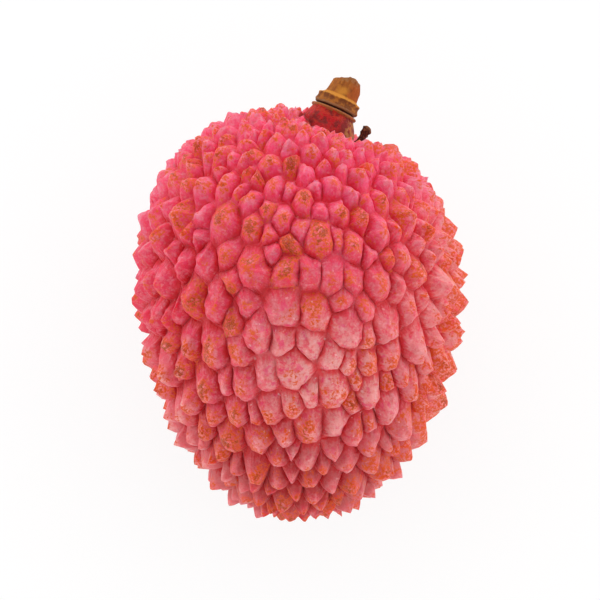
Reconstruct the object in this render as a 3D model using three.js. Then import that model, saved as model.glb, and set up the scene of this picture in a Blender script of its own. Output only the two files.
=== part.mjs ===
// A single lychee lying on its side, as picked: a rind of angular tubercles with a short neck at the
// stalk end, the woody stub of the stalk on it, and the dried second carpel beside it.
//
// Millimetres, +Z up. The fruit lies along Y, with its stalk towards +Y and its blossom end towards -Y.
// It rests on z = 0, and the origin is under the centre of its bounding box.
//
// The shapes are made in the fruit's own frame: Y is its axis, X its width and Z its depth, with the
// origin on the axis at the widest level. A unit vector from there, a direction, names a place on the rind.

import * as THREE from "three";
import { ConvexHull } from "three/addons/math/ConvexHull.js";

const { degToRad, lerp, smoothstep } = THREE.MathUtils;

// The rind's form at the level of the furrows between the tubercles.
const HALF_WIDTH = 14.3;
const HALF_DEPTH = 13.3;
const CROWN_LENGTH = 15.3; // from the widest level to the stalk end
const TIP_LENGTH = 21.1; // from the widest level to the blossom end
const CROWN_FULLNESS = 2.1; // exponents of the superellipse: 2 is an ellipse, and more is boxier
const TIP_FULLNESS = 1.9;
const SHOULDER_SLOPE = 0.1; // how much the crown falls across its width, per millimetre
const HOLLOW_PLACE = new THREE.Vector3(0.38, 1, 0.1).normalize(); // a dip beside the stalk
const HOLLOW_DEPTH = 2.1;
const HOLLOW_SPREAD = 0.25; // radians

// Tubercles. Their sizes are angles, in radians, seen from the fruit's origin.
const SEED = 59;
const GIRTH_SPACING = 0.142; // between middling tubercles at the widest level
const GIRTH_ASPECT = 1.28; // how much longer than wide they are there
const TIP_SHRINK = { share: 0.36, from: 0.55, to: 1 }; // smaller towards the blossom end, by height
const CROWN_SHRINK = { share: 0.2, from: 1.7, to: 1.1 }; // and on the crown, by radians from the stalk
const CROWDING = 0.45; // how far those around the stalk are drawn in to it, which makes them long
const CROWDING_REACH = 0.85; // how far from the stalk that goes
const SIZE_PASSES = [
  // Large tubercles are set first, and smaller ones fill what is left.
  { size: 1.3, tries: 200 },
  { size: 1.12, tries: 600 },
  { size: 0.95, tries: 2000 },
  { size: 0.78, tries: 6000 },
  { size: 0.62, tries: 12000 },
];
const SHORTEST_FURROW = 0.012; // two corners closer than this become one

const TUBERCLE_HEIGHT = 1.05; // of a middling tubercle, from furrow to tip
const HEIGHT_SCATTER = 0.2; // how much that varies, as a share
const BLUNT_SIDE = new THREE.Vector3(0.05, -0.3, 1).normalize(); // where the tips are lower
const BLUNT_RANGE = { from: 0.55, to: 0.95 }; // cosines of the angle from there
const BLUNT_HEIGHT = 0.72; // the share of the height that is left there
const SMALLEST_SHOULDERED = 0.052; // smaller tubercles are plain pyramids, without a shoulder
const SHOULDER_RISE = 0.56; // the share of the height reached at the shoulder
const SHOULDER_REACH = 0.64; // where the shoulder is, from 0 at the tip to 1 at the furrow
const TIP_LEAN = 0.12; // how far a tip leans to the blossom end, as a share of its tubercle's radius
const TIP_STRAY = 0.3; // how far it may stray from there, as such a share

// Stalk end.
const STALK_PLACE = new THREE.Vector3(0.23, 1, 0.13).normalize();
const STALK_LEAN_RIGHT = degToRad(24);
const STALK_LEAN_UP = degToRad(-3);
const NECK_FOOT_ANGLE = 0.3;
const NECK_RADIUS = 2.1;
const NECK_LENGTH = 2.65;
const RIDGES_AT_NECK = 13; // narrow tubercles that run out from the neck
const SEAT_GAP = 0.3; // between the rind and what sits on it

const COLLAR_RADIUS = 2.1;
const COLLAR_HEIGHT = 1.0;
const PEG_RADIUS = 1.5;
const PEG_LENGTH = 2.1; // to the crest of its broken end
const PEG_BREAK_SLOPE = 0.5; // how its end falls away on both sides of the crest
const STUB_SIDES = 24;
const STUB_UNEVENNESS = 0.03; // as a share of its radius

const CARPEL_RADIUS = 0.32;
const CARPEL_LENGTH = 1.5;
const CARPEL_SIDES = 12;
const CARPEL_OFFSET = 2.9; // from the stalk's axis
const CARPEL_LEAN = degToRad(12); // away from the stalk

// Rest.
const REST_PITCH = degToRad(5); // the blossom end dips until the weight is over the lowest tips
const PRESSED_DEPTH = 0.35; // how far those tips are flattened by what the fruit lies on

const Y_AXIS = new THREE.Vector3(0, 1, 0);
const BLOSSOM_END = new THREE.Vector3(0, -1, 0);
const stalkAxis = new THREE.Vector3(
  Math.sin(STALK_LEAN_RIGHT) * Math.cos(STALK_LEAN_UP),
  Math.cos(STALK_LEAN_RIGHT) * Math.cos(STALK_LEAN_UP),
  Math.sin(STALK_LEAN_UP),
);

const rindMaterial = new THREE.MeshStandardMaterial({ color: 0xd95468, roughness: 0.6, metalness: 0 });
const woodMaterial = new THREE.MeshStandardMaterial({ color: 0xa05e2c, roughness: 0.8, metalness: 0 });
const driedMaterial = new THREE.MeshStandardMaterial({ color: 0x4a1c12, roughness: 0.85, metalness: 0 });

// A seeded stream of numbers from 0 to 1.
function randomStream(seed) {
  let state = seed >>> 0;
  return () => {
    state = (state + 0x6d2b79f5) >>> 0;
    let mixed = Math.imul(state ^ (state >>> 15), state | 1);
    mixed ^= mixed + Math.imul(mixed ^ (mixed >>> 7), mixed | 61);
    return ((mixed ^ (mixed >>> 14)) >>> 0) / 2 ** 32;
  };
}

const random = randomStream(SEED);

function randomDirection() {
  const height = 2 * random() - 1;
  const turn = 2 * Math.PI * random();
  const out = Math.sqrt(1 - height * height);
  return new THREE.Vector3(out * Math.cos(turn), height, out * Math.sin(turn));
}

// Two tangents of the unit sphere: one that points to the blossom end, and one a quarter turn from it,
// anticlockwise as seen from outside.
function tangentsAt(direction) {
  const down = BLOSSOM_END.clone().addScaledVector(direction, -BLOSSOM_END.dot(direction)).normalize();
  return { down, side: direction.clone().cross(down) };
}

function turnedTangent({ down, side }, turn) {
  return down.clone().multiplyScalar(Math.cos(turn)).addScaledVector(side, Math.sin(turn));
}

// The direction reached by going from another along a tangent, by an angle.
function stepAlong(direction, tangent, angle) {
  return direction.clone().multiplyScalar(Math.cos(angle)).addScaledVector(tangent, Math.sin(angle));
}

// Where a direction's place lies once the places around the stalk are drawn in to it.
function crowded(direction) {
  const angle = direction.angleTo(STALK_PLACE);
  if (angle < 1e-6) return direction.clone();
  const tangent = direction.clone().addScaledVector(STALK_PLACE, -Math.cos(angle)).normalize();
  const drawnIn = CROWDING * Math.exp(-((angle / CROWDING_REACH) ** 2));
  return stepAlong(STALK_PLACE, tangent, angle * (1 - drawnIn));
}

// The point of the furrow-level rind in a direction.
function rindPoint(direction) {
  const place = crowded(direction);
  const length = place.y > 0 ? CROWN_LENGTH : TIP_LENGTH;
  const stretch = (GIRTH_ASPECT * HALF_WIDTH) / length;
  const { x, y, z } = new THREE.Vector3(place.x, place.y * stretch, place.z).normalize();
  const crownward = smoothstep(y, -1, 1);
  const fullness = lerp(TIP_FULLNESS, CROWN_FULLNESS, crownward);
  const total = Math.abs(x) ** fullness + Math.abs(y) ** fullness + Math.abs(z) ** fullness;
  const reach = total ** (-1 / fullness);
  const point = new THREE.Vector3(HALF_WIDTH * x * reach, length * y * reach, HALF_DEPTH * z * reach);
  point.y -= SHOULDER_SLOPE * point.x * crownward;
  const fromHollow = place.angleTo(HOLLOW_PLACE) / HOLLOW_SPREAD;
  return point.addScaledVector(stalkAxis, -HOLLOW_DEPTH * Math.exp(-fromHollow * fromHollow));
}

function rindNormal(direction) {
  const tangents = tangentsAt(direction);
  const step = 0.02;
  const [alongDown, alongSide] = [tangents.down, tangents.side].map((tangent) => {
    const behind = rindPoint(stepAlong(direction, tangent, -step));
    return rindPoint(stepAlong(direction, tangent, step)).sub(behind);
  });
  return alongDown.cross(alongSide).normalize();
}

function tubercleSpacing(direction) {
  const tipward = smoothstep(-direction.y, TIP_SHRINK.from, TIP_SHRINK.to);
  const fromStalk = direction.angleTo(STALK_PLACE);
  const crownward = 1 - smoothstep(fromStalk, CROWN_SHRINK.to, CROWN_SHRINK.from);
  return GIRTH_SPACING * (1 - TIP_SHRINK.share * tipward - CROWN_SHRINK.share * crownward);
}

// The neck, the ridges round it and the tubercles, each as a disc on the unit sphere. No two overlap.
function placeSites() {
  const sites = [{ isNeck: true, direction: STALK_PLACE, radius: NECK_FOOT_ANGLE }];
  const tangents = tangentsAt(STALK_PLACE);
  const ridge = (NECK_FOOT_ANGLE * Math.PI) / RIDGES_AT_NECK;
  for (let i = 0; i < RIDGES_AT_NECK; i++) {
    const turn = (2 * Math.PI * (i + 0.25 * random())) / RIDGES_AT_NECK;
    const direction = stepAlong(STALK_PLACE, turnedTangent(tangents, turn), NECK_FOOT_ANGLE + ridge);
    sites.push({ direction, radius: ridge });
  }
  for (const { size, tries } of SIZE_PASSES) {
    for (let i = 0; i < tries; i++) {
      const direction = randomDirection();
      const radius = (size * tubercleSpacing(direction)) / 2;
      const isClear = sites.every((site) => direction.angleTo(site.direction) > radius + site.radius);
      if (isClear) sites.push({ direction, radius });
    }
  }
  return sites;
}

// Divides the sphere among the sites as a power diagram, so that a larger disc has a larger cell. The
// diagram is the dual of the convex hull of the discs' poles, and a hull face's normal is a corner.
function divideIntoCells(sites) {
  const poles = sites.map((site) => site.direction.clone().divideScalar(Math.cos(site.radius)));
  const siteOfPole = new Map(poles.map((pole, index) => [pole, index]));
  const corners = [];
  const cornersOfSite = sites.map(() => new Set());
  for (const face of new ConvexHull().setFromPoints(poles).faces) {
    let corner = corners.findIndex((known) => known.angleTo(face.normal) < SHORTEST_FURROW);
    if (corner < 0) corner = corners.push(face.normal.clone()) - 1;
    let edge = face.edge;
    do {
      cornersOfSite[siteOfPole.get(edge.head().point)].add(corner);
      edge = edge.next;
    } while (edge !== face.edge);
  }
  const rings = sites.map((site, index) => {
    const { down, side } = tangentsAt(site.direction);
    const turnOf = (corner) => Math.atan2(corners[corner].dot(side), corners[corner].dot(down));
    return [...cornersOfSite[index]].sort((a, b) => turnOf(a) - turnOf(b));
  });
  return { corners, rings };
}

// A tubercle's tip and the points of its shoulder, one towards each corner of its cell.
function tubercle(site, ringCorners) {
  const tangents = tangentsAt(site.direction);
  const tipPlace = site.direction
    .clone()
    .addScaledVector(tangents.down, TIP_LEAN * site.radius)
    .addScaledVector(turnedTangent(tangents, 2 * Math.PI * random()), TIP_STRAY * site.radius * random())
    .normalize();
  const size = (2 * site.radius) / GIRTH_SPACING;
  const scatter = 1 + HEIGHT_SCATTER * (2 * random() - 1);
  const bluntness = smoothstep(site.direction.dot(BLUNT_SIDE), BLUNT_RANGE.from, BLUNT_RANGE.to);
  const height = TUBERCLE_HEIGHT * Math.sqrt(size) * scatter * lerp(1, BLUNT_HEIGHT, bluntness);
  const raised = (place, rise) => rindPoint(place).addScaledVector(rindNormal(place), rise);
  const tip = raised(tipPlace, height);
  if (site.radius < SMALLEST_SHOULDERED) return { tip };
  const shoulder = ringCorners.map((corner) =>
    raised(tipPlace.clone().lerp(corner, SHOULDER_REACH).normalize(), SHOULDER_RISE * height),
  );
  return { tip, shoulder };
}

const neckFoot = rindPoint(STALK_PLACE);

// The neck is a cell like the others, but its shoulder is the rim of a short column with a flat top.
function neck(ringCorners) {
  const tip = neckFoot.clone().addScaledVector(stalkAxis, NECK_LENGTH);
  const shoulder = ringCorners.map((corner) => {
    const outward = rindPoint(corner).sub(neckFoot);
    outward.addScaledVector(stalkAxis, -outward.dot(stalkAxis)).setLength(NECK_RADIUS);
    return tip.clone().add(outward);
  });
  return { tip, shoulder };
}

// Flattens what reaches lowest when the fruit lies at rest, so that it bears on several tips.
function pressFlat(points) {
  const downAtRest = new THREE.Vector3(0, -Math.sin(REST_PITCH), -Math.cos(REST_PITCH));
  const lowest = Math.max(...points.map((point) => point.dot(downAtRest)));
  for (const point of points) {
    const beyond = point.dot(downAtRest) - (lowest - PRESSED_DEPTH);
    if (beyond > 0) point.addScaledVector(downAtRest, -beyond);
  }
}

function fruitGeometry() {
  const sites = placeSites();
  const { corners, rings } = divideIntoCells(sites);
  const points = corners.map(rindPoint);
  const faces = [];
  sites.forEach((site, index) => {
    const ring = rings[index];
    const ringCorners = ring.map((corner) => corners[corner]);
    const raised = site.isNeck ? neck(ringCorners) : tubercle(site, ringCorners);
    const tip = points.push(raised.tip) - 1;
    const shoulder = raised.shoulder?.map((point) => points.push(point) - 1);
    ring.forEach((corner, i) => {
      const next = (i + 1) % ring.length;
      if (shoulder) {
        faces.push([tip, shoulder[i], shoulder[next]]);
        faces.push([shoulder[i], corner, ring[next]]);
        faces.push([shoulder[i], ring[next], shoulder[next]]);
      } else {
        faces.push([tip, corner, ring[next]]);
      }
    });
  });
  pressFlat(points);
  const geometry = new THREE.BufferGeometry().setFromPoints(points);
  geometry.setIndex(faces.flat());
  geometry.computeVertexNormals();
  return geometry;
}

// The stub that the picking left: a collar, and a peg whose end is broken to a crest. It stands along Y.
function stubGeometry() {
  const crest = COLLAR_HEIGHT + PEG_LENGTH;
  const profile = [
    [0, 0],
    [COLLAR_RADIUS * 0.92, 0],
    [COLLAR_RADIUS, COLLAR_HEIGHT * 0.18],
    [COLLAR_RADIUS * 0.95, COLLAR_HEIGHT * 0.62],
    [COLLAR_RADIUS * 0.84, COLLAR_HEIGHT * 0.72],
    [COLLAR_RADIUS * 0.8, COLLAR_HEIGHT * 0.95],
    [PEG_RADIUS, COLLAR_HEIGHT * 1.08],
    [PEG_RADIUS * 0.96, COLLAR_HEIGHT + PEG_LENGTH * 0.5],
    [PEG_RADIUS * 0.9, crest],
    [PEG_RADIUS * 0.5, crest],
    [0, crest],
  ].map(([radius, height]) => new THREE.Vector2(radius, height));
  const geometry = new THREE.LatheGeometry(profile, STUB_SIDES);
  const positions = geometry.attributes.position;
  const point = new THREE.Vector3();
  for (let i = 0; i < positions.count; i++) {
    point.fromBufferAttribute(positions, i);
    const isOnBreak = point.y > crest - 0.01;
    if (isOnBreak) point.y -= PEG_BREAK_SLOPE * Math.abs(point.x);
    const turn = Math.atan2(point.z, point.x);
    const swell = 1 + STUB_UNEVENNESS * (Math.sin(3 * turn + 0.6) + 0.7 * Math.sin(5 * turn));
    positions.setXYZ(i, point.x * swell, point.y, point.z * swell);
  }
  geometry.computeVertexNormals();
  return geometry;
}

// The dried carpel: a thin shank with a knob at its end, along Y.
function carpelGeometry() {
  const profile = [
    [0, 0],
    [CARPEL_RADIUS * 0.95, 0],
    [CARPEL_RADIUS * 0.8, CARPEL_LENGTH * 0.3],
    [CARPEL_RADIUS * 0.95, CARPEL_LENGTH * 0.55],
    [CARPEL_RADIUS * 1.35, CARPEL_LENGTH * 0.75],
    [CARPEL_RADIUS * 1.2, CARPEL_LENGTH * 0.93],
    [0, CARPEL_LENGTH],
  ].map(([radius, height]) => new THREE.Vector2(radius, height));
  return new THREE.LatheGeometry(profile, CARPEL_SIDES);
}

// How far along an axis a round foot stands from a point when it just clears the rind.
function seatOnRind(rind, foot, axis, radius) {
  const start = 20; // well outside the fruit
  const rays = 12;
  const raycaster = new THREE.Raycaster();
  let seat = -Infinity;
  for (let i = 0; i < rays; i++) {
    const outward = turnedTangent(tangentsAt(axis), (2 * Math.PI * i) / rays);
    const origin = foot.clone().addScaledVector(outward, radius).addScaledVector(axis, start);
    raycaster.set(origin, axis.clone().negate());
    const [nearest] = raycaster.intersectObject(rind);
    seat = Math.max(seat, start - nearest.distance);
  }
  return seat + SEAT_GAP;
}

function makeFruit() {
  const mesh = new THREE.Mesh(fruitGeometry(), rindMaterial);
  mesh.name = "fruit";
  return mesh;
}

function makeStub() {
  const mesh = new THREE.Mesh(stubGeometry(), woodMaterial);
  mesh.name = "stem_stub";
  mesh.position.copy(neckFoot).addScaledVector(stalkAxis, NECK_LENGTH + SEAT_GAP);
  mesh.quaternion.setFromUnitVectors(Y_AXIS, stalkAxis);
  return mesh;
}

function makeCarpel(rind) {
  const mesh = new THREE.Mesh(carpelGeometry(), driedMaterial);
  mesh.name = "aborted_carpel";
  const sideways = new THREE.Vector3(1, 0, 0).addScaledVector(stalkAxis, -stalkAxis.x).normalize();
  const axis = stepAlong(stalkAxis, sideways, CARPEL_LEAN);
  mesh.position.copy(neckFoot).addScaledVector(sideways, CARPEL_OFFSET);
  mesh.position.addScaledVector(axis, seatOnRind(rind, mesh.position, axis, CARPEL_RADIUS));
  mesh.quaternion.setFromUnitVectors(Y_AXIS, axis);
  return mesh;
}

// The fruit as it lies, with its lowest point on z = 0 and its box centred on the origin.
const lying = new THREE.Group();
const fruit = makeFruit();
lying.add(fruit, makeStub(), makeCarpel(fruit));
lying.rotation.x = REST_PITCH;
const box = new THREE.Box3().setFromObject(lying, true);
lying.position.set(-(box.min.x + box.max.x) / 2, -(box.min.y + box.max.y) / 2, -box.min.z);

const part = new THREE.Group();
part.add(lying);

export default part;
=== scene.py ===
# A lychee lying on a pale table, seen from above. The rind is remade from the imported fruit, tubercle by
# tubercle, as rounded and wrinkled scales, and the stub and the dried carpel are remade finer.
import math
import random

import bpy
import numpy as np
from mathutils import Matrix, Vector
from mathutils.noise import noise


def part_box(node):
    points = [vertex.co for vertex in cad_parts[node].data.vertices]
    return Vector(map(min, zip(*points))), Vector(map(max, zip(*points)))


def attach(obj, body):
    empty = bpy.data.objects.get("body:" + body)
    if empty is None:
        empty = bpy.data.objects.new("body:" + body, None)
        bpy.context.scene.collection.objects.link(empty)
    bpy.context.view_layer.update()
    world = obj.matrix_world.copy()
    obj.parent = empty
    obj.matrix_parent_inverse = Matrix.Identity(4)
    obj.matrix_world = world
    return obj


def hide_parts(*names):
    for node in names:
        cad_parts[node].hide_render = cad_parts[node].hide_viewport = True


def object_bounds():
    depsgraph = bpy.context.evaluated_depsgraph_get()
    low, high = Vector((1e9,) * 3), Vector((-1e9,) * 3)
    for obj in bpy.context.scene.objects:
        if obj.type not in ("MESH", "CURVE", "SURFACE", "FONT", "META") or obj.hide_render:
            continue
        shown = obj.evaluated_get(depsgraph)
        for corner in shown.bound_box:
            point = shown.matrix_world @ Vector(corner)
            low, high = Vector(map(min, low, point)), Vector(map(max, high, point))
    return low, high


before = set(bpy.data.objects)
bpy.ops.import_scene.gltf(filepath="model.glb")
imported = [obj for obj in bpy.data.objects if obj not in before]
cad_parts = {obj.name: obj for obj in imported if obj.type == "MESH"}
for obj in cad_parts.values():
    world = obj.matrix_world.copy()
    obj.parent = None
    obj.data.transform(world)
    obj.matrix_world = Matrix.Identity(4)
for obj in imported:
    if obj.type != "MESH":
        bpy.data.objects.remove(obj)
cad_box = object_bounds()

MM = 0.001
SEED = 7

# Zones of the rind: where each begins and where it is whole, as parts of a direction of length 1.
CROWN_ZONE = (0.2, 0.7)  # towards the stalk
BLOSSOM_ZONE = (0.45, 0.8)  # away from it
LOWER_ZONE = (-0.8, 0.5)  # the same, nearly from end to end
STALK_HALF = (-0.3, 0.3)  # towards the stalk
BLUNT_SIDE = Vector((0.05, -0.3, 1)).normalized()  # where the tubercles are blunt
BLUNT_ZONE = (0.5, 0.95)  # towards that side
SOFT_ZONE = (0.1, 0.75)  # the same, for rounded outlines
MERGED_SIDE = Vector((-0.1, -0.05, 1)).normalized()  # where furrows may be faint
MERGED_ZONE = (0.75, 0.95)
LUMPY_ZONE = (0.2, 0.55)  # towards the left
LUMPY_END = (-0.75, -0.2)  # where it ends, at the blossom end
KEEL_ZONE = (-0.4, 0.5)  # from left to right

# Furrows.
MERGE_DISTANCE = 1e-6  # packed vertices closer than this are one
FURROW_STEP = 0.355 * MM  # between a furrow's points
FURROW_WANDER = 0.3 * MM  # how far they stray from straight lines
FURROW_BEND = 1.3 * MM  # over what length they do
# Where in the noise each axis of it is read.
STRAY_OFFSETS = (Vector((9.3, -1.5, -8.0)), Vector((0, 0, 0)), Vector((6.3, 0.1, -8.5)))
FURROW_LIFT = (0.3 * MM, -0.05 * MM)  # how much higher than packed: a faint one, a clear one
SHARP_FURROW_LIFT = (0.0, -0.52 * MM)  # the same where the tubercles are sharp
MERGING_ELSEWHERE = 0.8  # how faint they may be on the rest of the stalk's half
CLEFT_SIZE = 1.6 * MM  # how soon a furrow changes from faint to clear
CLEFT_NOISE = (-0.25, 0.15)  # the noise at which it is faint, and clear

# Tubercles.
RINGS = (0.16, 0.38, 0.6, 0.78, 0.89, 0.955)  # from its tip to just short of its furrow
SMALL_RINGS = (0.25, 0.55, 0.8, 0.94)
SMALL_TUBERCLE = 0.75 * MM  # up to this radius it has fewer rings
SHARP_STRETCH = 1.35  # how much taller than packed sharp ones may be
SHARP_SCATTER = (0.72, 1.1)  # the least and the most of that height that one has
ROUNDNESS = (1.5, 3.5)  # exponent of the dome, sharp and blunt
CROWN_ROUNDNESS = 2.1  # and on the crown, where rounded in outline, and at the blossom end
ROUNDNESS_SCATTER = 0.25  # of that exponent, as a share
PEAK_SHARE = (0.55, 0.08)  # how much of its height is a plain cone, sharp and blunt
PEAK_BLUNTING = (0.5, 0.5, 0.7)  # how far towards blunt it is on those three
LUMPY = 0.9  # the share at the left that are formed as on the crown
ROUNDING = 0.14  # the share of a blunt one's outline over which it is evened, each way
ROUNDED = (0.94, 1.4)  # the least and the most that this changes it
KEEL = (0.35, 0.8)  # how high the ridges to its corners are, left and right
KEEL_SCATTER = 1.5  # the exponent that makes high ones rare
KEEL_LESS = (0.25, 0.6)  # how much lower on the crown and at the blossom end
TILT = 0.35  # how much higher a rounded one is towards the blossom end
VALLEY = 0.015  # the flat share of a rounded one's radius, at its furrow
WRINKLE = 0.07  # how unevenly its dome ends around it
WRINKLE_SIZE = 0.5 * MM
FINE_WRINKLE_SIZE = 0.6 * WRINKLE_SIZE
LOBE_SIZE = 1.1 * MM
FINE_LOBES = (0.5, 0.45)  # their height and size, as shares of the others'
LOBE_HEIGHT = 0.24 * MM
SHARP_LOBE_HEIGHT = 0.12 * MM
LOBE_FADE = (5, 4)  # how fast they grow from the tip, and from the furrow
CREASES = 0.8  # how far creases replace lobes on the crown and at the left
CREASE_HEIGHT = 0.6  # of the skin between them, in heights of a lobe
CREASE_DEPTH = 3  # how steep they are
CREASE_OFFSET = 5  # in the noise
LEAN = (-0.15, 0.2)  # how far it bulges to the blossom end, at the stalk and at that end
BLUNT_LEAN = 0.4  # the share of that where it is blunt
SHIFT = (-0.5, 0.5)  # how far a rounded one's top is moved, in the same way

# Neck.
NECK_TOP = (  # its flat top and its lip: shares of its radius, and heights in millimetres
    (0.3, -0.02), (0.62, -0.03), (0.9, -0.02), (1.0, 0.0), (1.04, -0.1), (1.02, -0.22), (0.955, -0.32),
)
NECK_COLUMN = (0.07, 0.16, 0.26, 0.36, 0.46, 0.56, 0.66, 0.75, 0.83, 0.9, 0.96)  # from its lip to its foot
NECK_FLARE = (1.9, 0.9)  # how late it widens to its foot, and how late at the left
NECK_FLARE_ZONE = (0.1, 0.9)
NECK_BULGE = (0.35 * MM, 0.6 * MM)  # how much it swells, left and right
NECK_UNEVEN = (0.02, 0.8 * MM)  # how uneven its top's outline is, and over what size
NECK_FLUTES = (0.12 * MM, 0.5 * MM)  # their depth and their size
NECK_FLUTE_FADE = 4  # how late they end at its foot
NECK_BUMPS = (0.1 * MM, 0.6 * MM)
NECK_TOP_RHO = 0.1
NECK_BLUSH_START = 1.05  # where its colour begins to fade, in its radii
NECK_BLUSH_REACH = 1.2 * MM  # how far it runs out over the ridges
NECK_BLUSH_DEPTH = 2.2 * MM  # below its top
RIDGE_HEIGHT = 0.1  # the share of their height that ridges beside it keep
RIDGE_REACH = (1.5, 2.8)  # from where to where that rises to 1, in its radii
RIDGE_SIDE = Vector((0.75, 0, 0.66))  # where the ridges are low
RIDGE_ZONE = (-0.5, 0.1)
RIDGE_BOOST = 1.2  # that share at the other side, where they stand up

# Stub of the stalk: radii and heights above the neck of its recess and collar, in millimetres.
STUB_SIDES = 144
STUB_RECESS = ((0.9, 0.03), (1.7, 0.03), (1.8, 0.05), (1.82, 0.12), (1.84, 0.18))
STUB_COLLAR = (
    (1.93, 0.19), (2.03, 0.23), (2.1, 0.31), (2.1, 0.43), (2.05, 0.55), (2, 0.68), (1.97, 0.82), (1.98, 0.94),
    (2.01, 1.04), (2, 1.12), (1.92, 1.18), (1.82, 1.2), (1.74, 1.24), (1.67, 1.3), (1.58, 1.36),
)
COLLAR_WAVES = ((0.05, 1.4, 1), (0.025, 0.35, 1), (0.02, 0.12, 3))  # height and size in mm, and stretch
COLLAR_LIFT = ((0.07, 1.6, 1),)  # the same, up and down
RECESS_WAVES = 0.15  # the share of both that the recess has
PEG_RADIUS = 1.5 * MM
PEG_BASE = 1.42 * MM
PEG_ROWS = (0, 0.06, 0.13, 0.21, 0.3, 0.39, 0.48, 0.57, 0.66, 0.74, 0.81, 0.87, 0.92, 0.96)
PEG_TOP = (0.985, 0.94, 0.84, 0.7, 0.54, 0.36, 0.18)
PEG_FIBRES = ((0.05, 0.16, 8), (0.09, 0.6, 3))
PEG_TAPER = 0.05  # how much thinner its end is
PEG_FOOT = 0.03  # how much thicker its very foot is
PEG_CREST = 0.3 * MM  # how far to the right its broken end is highest
PEG_FLAT = 0.25 * MM  # how far from there it begins to fall
PEG_SLOPE = 0.47
PEG_TORN = 0.12 * MM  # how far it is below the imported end
TORN_END = ((0.12, 0.5, 1), (0.072, 0.2, 1))
PEG_SHIFT = 0.12 * MM  # to the right of the collar's middle

# Dried carpel: radii in millimetres and shares of its length, from its foot.
CARPEL_SIDES = 40
CARPEL_SINK = 0.7 * MM  # how deep its foot is in the ridges
CARPEL_RISE = 0.12 * MM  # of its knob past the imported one
CARPEL_ROWS = (
    (0.36, 0.0), (0.34, 0.1), (0.31, 0.2), (0.29, 0.3), (0.28, 0.4), (0.29, 0.5), (0.32, 0.58), (0.37, 0.66),
    (0.41, 0.73), (0.44, 0.8), (0.44, 0.86), (0.41, 0.91), (0.35, 0.95), (0.26, 0.98), (0.14, 1.0),
)
CARPEL_BEND = 0.12 * MM
CARPEL_DIP = 0.04 * MM  # of the middle of its end
CARPEL_SHRIVEL = (0.5, 0.32 * MM)  # how uneven its knob is, and over what size
CARPEL_WRINKLES = (0.2, 0.12 * MM)  # the same of all of it

# Light.
TENT_TOP_LEVEL = 0.28
TENT_SIDE_LEVEL = 2.35
TENT_SLOPE = (0.05, 0.35, 0)  # how much brighter along each axis
FLOOR_LIGHT = TENT_SIDE_LEVEL + (TENT_TOP_LEVEL - TENT_SIDE_LEVEL) * 2 / 3  # what falls on the floor
FLOOR_ALBEDO = 0.85
FLOOR_SHADED = 0.22  # the part of its brightness that the object can shade
FLOOR_WHITE = 1.02  # how bright the camera sees it where nothing shades it
FLOOR_HALF = 3.0  # half its width

# View.
CAMERA_ELEVATION = math.radians(85)
CAMERA_DISTANCE = 0.3
CAMERA_CLIP = (0.01, 10)
VIEW_WIDTH = 54.9 * MM  # what the camera takes in at the object's centre
SENSOR = 36.0

random.seed(SEED)


def ease(value, low, high):
    t = min(max((value - low) / (high - low), 0), 1)
    return t * t * (3 - 2 * t)


def lerp(a, b, t):
    return a + (b - a) * t


def hump(t):
    """0 at 0 and at 1, and 1 half way."""
    return 4 * t * (1 - t)


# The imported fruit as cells: each has a tip and the corners that it shares with its neighbours.


def welded(mesh):
    """The mesh's vertices with coincident ones joined, and its triangles."""
    raw = np.empty(len(mesh.vertices) * 3)
    mesh.vertices.foreach_get("co", raw)
    keys = np.round(raw.reshape(-1, 3) / MERGE_DISTANCE).astype(np.int64)
    keys, index = np.unique(keys, axis=0, return_inverse=True)
    index = index.ravel()
    mesh.calc_loop_triangles()
    triangles = [[int(index[v]) for v in triangle.vertices] for triangle in mesh.loop_triangles]
    return [Vector(key) for key in keys * MERGE_DISTANCE], triangles


def rings_around(triangles):
    """The neighbours of each vertex in order, anticlockwise as seen from outside."""
    following = {}
    for a, b, c in triangles:
        following.setdefault(a, {})[b] = c
        following.setdefault(b, {})[c] = a
        following.setdefault(c, {})[a] = b
    rings = {}
    for vertex, step in following.items():
        ring = [next(iter(step))]
        while step[ring[-1]] != ring[0]:
            ring.append(step[ring[-1]])
        rings[vertex] = ring
    return rings


def middle_and_normal(points):
    middle = sum(points, Vector()) / len(points)
    arms = [point - middle for point in points]
    normal = sum((a.cross(b) for a, b in zip(arms, arms[1:] + arms[:1])), Vector()).normalized()
    return middle, normal


def find_cells(places, rings):
    """The cells as (tip, corners in order). A point of a cell's shoulder has five neighbours: the tip, the
    shoulder's points beside it and two corners. A corner has more."""
    cells = []
    shoulders = set()
    for tip, ring in rings.items():
        if all(len(rings[point]) == 5 for point in ring):
            shoulders.update(ring)
            corner_of = [rings[point][(rings[point].index(tip) + 2) % 5] for point in ring]
            cells.append((tip, corner_of))
    tips = {tip for tip, _ in cells}
    for vertex, ring in rings.items():
        if vertex in tips or vertex in shoulders or shoulders.intersection(ring):
            continue
        middle, normal = middle_and_normal([places[point] for point in ring])
        if (places[vertex] - middle).dot(normal) > 0:
            cells.append((vertex, ring))
    return cells


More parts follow.
